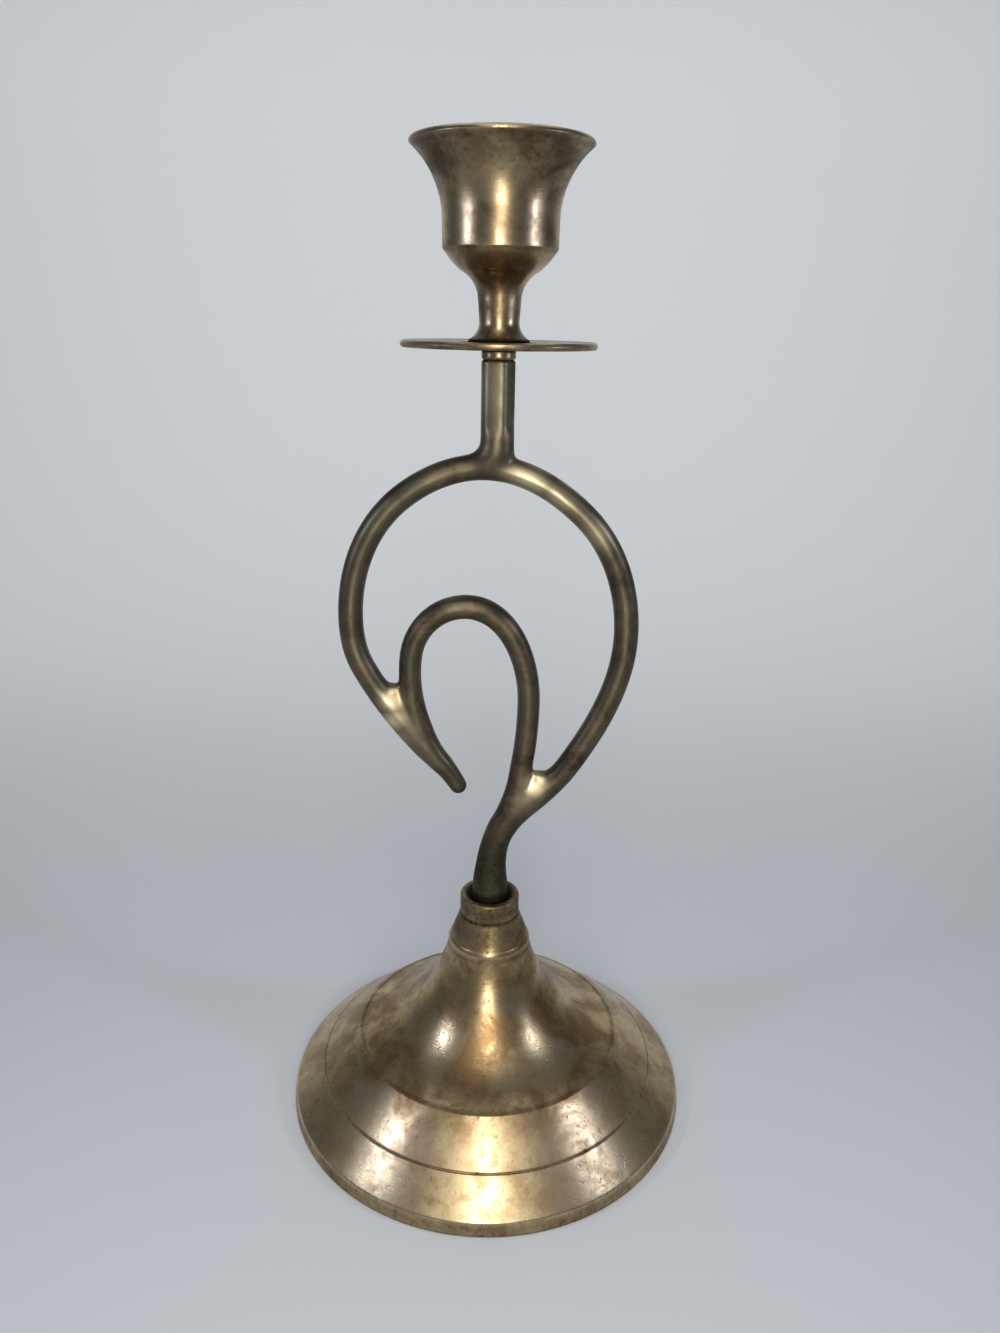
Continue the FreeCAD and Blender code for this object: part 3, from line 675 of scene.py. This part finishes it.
def flowing(stations):
    """A smooth line in the plane of the ring through stations (x, z, heading in degrees)."""
    points = []
    for (x0, z0, h0), (x1, z1, h1) in zip(stations, stations[1:]):
        start, end = np.array([x0, z0]), np.array([x1, z1])
        reach = np.hypot(*(end - start))
        bend = abs((h1 - h0 + 180) % 360 - 180)
        pull = reach * (1 + (bend / 180) ** 2 * BEND_PULL)
        leave = np.array([math.cos(math.radians(h0)), math.sin(math.radians(h0))]) * pull
        arrive = np.array([math.cos(math.radians(h1)), math.sin(math.radians(h1))]) * pull
        count = max(2, int(reach / LINE_STEP))
        for t in np.arange(count) / count:
            points.append((2 * t ** 3 - 3 * t ** 2 + 1) * start + (t ** 3 - 2 * t ** 2 + t) * leave
                          + (3 * t ** 2 - 2 * t ** 3) * end + (t ** 3 - t ** 2) * arrive)
    points.append(np.array(stations[-1][:2], float))
    return np.array(points)


def rod(stations, radii):
    """A rod's middle line with its radius at each point; radii are (share of the way, radius)."""
    middle = flowing(stations)
    along = np.concatenate([[0], np.cumsum(np.hypot(*np.diff(middle, axis=0).T))])
    shares, sizes = zip(*radii)
    return middle, np.interp(along / along[-1], shares, sizes)


# from the fork up the right side, over the top, down the left side and out to the tail
ring_rod = rod(
    [(*FORK, 52.0), (20.2, 102.1, 57.4), (33.4, 138.2, 90.0), (21.6, 168.3, 136.2), (*TOP, 173.2),
     (-23.2, 172.0, 218.9), (-36.15, 141.9, 270.0), (-33.3, 128.6, 297.7), (*MEETING, 314.0),
     (-8.9, 95.75, 302.0)],
    [(0, 3.2), (0.05, 3.35), (0.1, RING_ROD), (0.94, RING_ROD), (1, 2.25)])
# tenon, foot, fork and scroll, which ends inside the ring; the foot narrows on its way up to the fork
spine_rod = rod(
    [(0.0, 57.0, 90.0), (0.0, 66.6, 90.0), (*FORK, 62.0), (8.0, 102.9, 81.0), (9.25, 119.7, 90.0),
     (-9.3, 144.8, 189.2), (-21.1, 131.8, 263.0), (*MEETING, 303.0)],
    [(0, 4.9), (0.05, 4.9), (0.07, 4.65), (0.103, 4.05), (0.14, 3.75), (0.2, 3.6), (0.27, SCROLL_ROD),
     (0.5, SCROLL_ROD), (0.62, 3.1), (0.75, SCROLL_ROD), (0.93, 2.8), (1, 2.2)])
post_rod = rod([(*TOP, 90.0), (0.0, 207.5, 90.0)], [(0, 0.8), (0.16, POST_ROD), (1, POST_ROD)])
# thin webs that fill the two crotches
fork_web = rod([(12.4, 98.0, 235.0), (6.0, 89.0, 235.0)], [(0, 1.9), (1, 2.4)])
tail_web = rod([(-25.7, 122.0, 290.0), (-20.0, 111.0, 305.0)], [(0, 1.8), (1, 2.2)])
rods = [ring_rod, spine_rod, post_rod, fork_web, tail_web]


def to_surface(points):
    """Distance of points from the stem's surface, in millimetres, and the way straight out."""
    flat = points[:, [0, 2]]
    flow = FLOW + sum(extra * np.exp(-((flat - (x, z)) ** 2).sum(1) / reach ** 2)
                      for x, z, reach, extra in SOFT_CORNERS)
    total = np.zeros(len(points))
    away = np.zeros((len(points), 3))
    for middle, radii in rods:
        starts, runs = middle[:-1], np.diff(middle, axis=0)
        offset = flat[:, None] - starts
        share = np.clip((offset * runs).sum(2) / (runs ** 2).sum(1), 0, 1)
        offset -= share[..., None] * runs
        reach = np.sqrt((offset ** 2).sum(2) + points[:, None, 1] ** 2)
        depth = reach - radii[:-1] - share * np.diff(radii)
        nearest = np.arange(len(points)), np.argmin(depth, axis=1)
        weight = np.exp(-depth[nearest] / flow)
        across = offset[nearest]
        direction = np.stack([across[:, 0], points[:, 1], across[:, 1]], axis=1)
        direction /= np.maximum(reach[nearest], LEAST_LENGTH)[:, None]
        total += weight
        away += direction * weight[:, None]
    distance = -flow * np.log(np.maximum(total, LEAST_WEIGHT))
    away /= np.maximum(np.linalg.norm(away, axis=1), LEAST_LENGTH)[:, None]
    # the post and the tenon are cut off square, and the post's edge is broken
    around = np.hypot(points[:, 0], points[:, 1])
    outward = np.stack([points[:, 0], points[:, 1], around], axis=1)
    outward /= np.maximum(around, LEAST_LENGTH)[:, None]
    top = points[:, 2] - STEM_TOP
    chamfer = (around + top - POST_ROD + POST_CHAMFER) / 2 ** 0.5
    cuts = [
        (top, np.tile([0.0, 0.0, 1.0], (len(points), 1))),
        (STEM_FOOT - points[:, 2], np.tile([0.0, 0.0, -1.0], (len(points), 1))),
        (np.where(top > -CHAMFER_ZONE, chamfer, FAR_AWAY), outward / 2 ** 0.5),
    ]
    for depth, way in cuts:
        beyond = depth > distance
        distance = np.where(beyond, depth, distance)
        away = np.where(beyond[:, None], way, away)
    # the filed flats, whose edges are soft
    run_out = FACE_RUN_OUT * np.maximum(0, POST_FACES_FROM - points[:, 2]) ** 2
    for turn, reach in POST_FACES:
        way = np.array([math.sin(math.radians(turn)), -math.cos(math.radians(turn)), 0.0])
        face = points @ way - reach - run_out
        lead = (distance - face) / FACE_EDGE
        share = 1 / (1 + np.exp(np.clip(lead, -LARGEST_POWER, LARGEST_POWER)))
        distance = np.maximum(distance, face) + FACE_EDGE * np.log1p(np.exp(-abs(lead)))
        away = away * (1 - share[:, None]) + way * share[:, None]
        away /= np.maximum(np.linalg.norm(away, axis=1), LEAST_LENGTH)[:, None]
    return distance, away


def rough_tubes():
    """Plain tubes round the rods, a little fat, for the remesh to join."""
    verts, faces = [], []
    for middle, radii in rods:
        runs = np.gradient(middle, axis=0)
        runs /= np.linalg.norm(runs, axis=1)[:, None]
        first = len(verts)
        stations = [(middle[0] - runs[0] * radii[0] * END_REACH, radii[0] * END_SHARE)]
        stations += list(zip(middle, radii))
        stations += [(middle[-1] + runs[-1] * radii[-1] * END_REACH, radii[-1] * END_SHARE)]
        ways = [runs[0], *runs, runs[-1]]
        for (point, radius), way in zip(stations, ways):
            fat = radius + TUBE_EXTRA
            for k in range(TUBE_SIDES):
                a = 2 * math.pi * k / TUBE_SIDES
                verts.append((point[0] - way[1] * math.cos(a) * fat, math.sin(a) * fat,
                              point[1] + way[0] * math.cos(a) * fat))
        for i in range(len(stations) - 1):
            here, after = first + i * TUBE_SIDES, first + (i + 1) * TUBE_SIDES
            for k in range(TUBE_SIDES):
                beside = (k + 1) % TUBE_SIDES
                faces.append((here + k, here + beside, after + beside, after + k))
        faces.append(tuple(first + k for k in range(TUBE_SIDES))[::-1])
        faces.append(tuple(len(verts) - TUBE_SIDES + k for k in range(TUBE_SIDES)))
    mesh = bpy.data.meshes.new("rough_tubes")
    mesh.from_pydata(verts, [], faces)
    return mesh


def cast_stem():
    """The whole casting as one smooth surface."""
    rough = bpy.data.objects.new("rough_tubes", rough_tubes())
    bpy.context.scene.collection.objects.link(rough)
    remesh = rough.modifiers.new("join", "REMESH")
    remesh.mode = "VOXEL"
    remesh.voxel_size = FINE_VOXEL
    mesh = bpy.data.meshes.new_from_object(rough.evaluated_get(bpy.context.evaluated_depsgraph_get()))
    bpy.data.objects.remove(rough)
    points = np.zeros(len(mesh.vertices) * 3, np.float32)
    mesh.vertices.foreach_get("co", points)
    points = points.reshape(-1, 3).astype(float)
    for _ in range(ROUNDS):
        for part in np.array_split(np.arange(len(points)), max(1, len(points) // BATCH)):
            distance, away = to_surface(points[part])
            points[part] -= away * distance[:, None]
    mesh.vertices.foreach_set("co", (points * MM).astype(np.float32).ravel())
    mesh.update()
    x, y, z = points.T
    # painted shade down the right edge of the post, and the darker heights
    from_edge = (x - POST_ROD) / SHADE_STREAK_HALF_WIDTH
    from_middle = (z - SHADE_STREAK_HEIGHT) / SHADE_STREAK_HALF_HEIGHT
    dirt_and_shade = SHADE_STREAK_STRENGTH * np.exp(-from_edge ** 2 - from_middle ** 4)
    for height, reach, strength in DARKER_HEIGHTS:
        dirt_and_shade = np.maximum(dirt_and_shade, strength * np.exp(-((z - height) / reach) ** 2))
    marked(mesh, "grime_and_shade", dirt_and_shade)
    marked(mesh, "rubbed_and_sheen", spread(x, z, RUBBED_AND_SHEEN))
    finished("cast_ring_stem", mesh, cast_brass, "loop_stem")


cast_stem()

# Fixings under the base

THREAD_PITCH = 0.8 * MM
THREAD_DEPTH = 0.45 * MM
THREAD_SIDES = 48
ROWS_PER_TURN = 8
foot_stud_low, foot_stud_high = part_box("foot_stud")


def threaded_stud():
    """The stud under the stem with its thread, which shows below the nut and runs out at both ends."""
    radius = foot_stud_high.x
    length = foot_stud_high.z - foot_stud_low.z
    rows = int(length / THREAD_PITCH * ROWS_PER_TURN)
    verts, faces = [], []
    for i in range(rows + 1):
        z = foot_stud_low.z + length * i / rows
        end = min(1.0, (z - foot_stud_low.z) / THREAD_PITCH, (foot_stud_high.z - z) / THREAD_PITCH)
        for k in range(THREAD_SIDES):
            phase = ((z / THREAD_PITCH) - k / THREAD_SIDES) % 1
            valley = abs(phase - 0.5) * 2
            r = radius - THREAD_DEPTH * max(valley, 1 - end)
            a = 2 * math.pi * k / THREAD_SIDES
            verts.append((r * math.cos(a), r * math.sin(a), z))
    for i in range(rows):
        for k in range(THREAD_SIDES):
            here, after = i * THREAD_SIDES + k, i * THREAD_SIDES + (k + 1) % THREAD_SIDES
            faces.append((here, after, after + THREAD_SIDES, here + THREAD_SIDES))
    faces.append(tuple(range(THREAD_SIDES))[::-1])
    faces.append(tuple(rows * THREAD_SIDES + k for k in range(THREAD_SIDES)))
    mesh = bpy.data.meshes.new("foot_stud_thread")
    mesh.from_pydata(verts, [], faces)
    finished("foot_stud_thread", mesh, steel, "foot_stud")


threaded_stud()
for hidden in ("cup_stud", "foot_washer", "foot_nut"):
    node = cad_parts[hidden]
    node.data.materials.clear()
    node.data.materials.append(steel)

# Studio

PAPER_GREY = "#E0E2E2"
PAPER_ROUGHNESS = 0.9
WHITE = "#FFFFFF"
# the photo's highlights are cool at the sides and a little warm in the middle
COOL_WHITE = "#D4DFFF"
WARM_WHITE = "#FFFBF3"
AIR_BLUE_GREY = "#B8C4D6"
AIR_STRENGTH = 0.225
# the sweep: its front and back edges, the radius of its bend, half its width, and its height
SWEEP_FRONT = -1.2
SWEEP_BACK = 0.75
SWEEP_BEND = 0.35
SWEEP_HALF_WIDTH = 1.6
SWEEP_HEIGHT = 0.95
BEND_STEPS = 24
FIRST_BEND_ANGLE = 0.05


def matt_paper():
    """Matt paper without any gloss, pale grey."""
    material = bpy.data.materials.new("matt_paper_pale_grey")
    material.use_nodes = True
    shader = material.node_tree.nodes["Principled BSDF"]
    shader.inputs["Base Color"].default_value = linear(PAPER_GREY)
    shader.inputs["Roughness"].default_value = PAPER_ROUGHNESS
    return material


def sweep():
    """Pale floor that curves up into a backdrop."""
    bend_from = SWEEP_BACK - SWEEP_BEND
    side_view = [(SWEEP_FRONT, 0.0), (bend_from, 0.0)]
    for a in np.linspace(FIRST_BEND_ANGLE, math.pi / 2, BEND_STEPS):
        side_view.append((bend_from + SWEEP_BEND * math.sin(a), SWEEP_BEND - SWEEP_BEND * math.cos(a)))
    side_view.append((SWEEP_BACK, SWEEP_HEIGHT))
    verts = [(side * SWEEP_HALF_WIDTH, y, z) for y, z in side_view for side in (-1, 1)]
    faces = [(2 * i, 2 * i + 1, 2 * i + 3, 2 * i + 2) for i in range(len(side_view) - 1)]
    mesh = bpy.data.meshes.new("studio_sweep")
    mesh.from_pydata(verts, [], faces)
    mesh.shade_smooth()
    mesh.materials.append(matt_paper())
    paper = bpy.data.objects.new("studio_sweep", mesh)
    bpy.context.scene.collection.objects.link(paper)


def lamp(name, place, aim, size, radiance, colour=WHITE):
    """A soft rectangular light of a size (width, height) at a place, turned to face a point."""
    width, height = size
    light = bpy.data.lights.new(name, "AREA")
    light.shape = "RECTANGLE"
    light.size = width
    light.size_y = height
    light.energy = radiance * math.pi * width * height
    light.color = linear(colour)[:3]
    stand = bpy.data.objects.new(name, light)
    stand.location = place
    stand.rotation_euler = (Vector(aim) - Vector(place)).to_track_quat("-Z", "Y").to_euler()
    bpy.context.scene.collection.objects.link(stand)


sweep()
# the places of the two near lamps and of the strip follow from the highlights on cup, trumpet and skirt
lamp("left_lamp", (-0.25, -0.118, 0.23), (0, 0, 0.23), (0.036, 0.04), 42.0, COOL_WHITE)
lamp("right_lamp", (0.26, -0.105, 0.228), (0, 0, 0.228), (0.03, 0.04), 50.0, COOL_WHITE)
lamp("front_strip", (0.0, -0.3, 0.28), (0, 0, 0.28), (0.055, 0.4), 11.5, WARM_WHITE)
lamp("front_panel", (0.0, -1.2, 1.7), (0, 0, 0.1), (1.8, 0.9), 0.84)
lamp("ceiling_panel", (0.0, 0.35, 1.35), (0, 0, 0.1), (1.2, 0.7), 0.6)
lamp("backdrop_light", (0.0, 0.3, 0.47), (0, 0.75, 0.22), (1.8, 0.2), 2.2)

world = bpy.data.worlds.new("studio_air")
world.use_nodes = True
world.node_tree.nodes["Background"].inputs["Color"].default_value = linear(AIR_BLUE_GREY)
world.node_tree.nodes["Background"].inputs["Strength"].default_value = AIR_STRENGTH
bpy.context.scene.world = world

# Camera: worked out from the round edges of base, pan and cup in the photograph of 1000 by 1333
CAMERA_AT = Vector((0.0, -0.24318, 0.2135))
CAMERA_DOWN = math.radians(19.09)
CAMERA_RIGHT = math.radians(0.389)
CAMERA_ROLL = math.radians(1.092)
CAMERA_NEAREST = 0.01
FOCAL_PIXELS = 1005.69
PHOTO_HEIGHT = 1333
SENSOR = 36.0

camera = bpy.data.cameras.new("camera")
camera.sensor_width = SENSOR
camera.lens = FOCAL_PIXELS / PHOTO_HEIGHT * SENSOR
camera.clip_start = CAMERA_NEAREST
viewer = bpy.data.objects.new("camera", camera)
forward = Vector((
    math.sin(CAMERA_RIGHT) * math.cos(CAMERA_DOWN),
    math.cos(CAMERA_RIGHT) * math.cos(CAMERA_DOWN),
    -math.sin(CAMERA_DOWN)))
turn = forward.to_track_quat("-Z", "Y").to_matrix() @ Matrix.Rotation(CAMERA_ROLL, 3, "Z")
viewer.matrix_world = Matrix.Translation(CAMERA_AT) @ turn.to_4x4()
bpy.context.scene.collection.objects.link(viewer)
bpy.context.scene.camera = viewer
bpy.context.scene.view_settings.view_transform = "Standard"
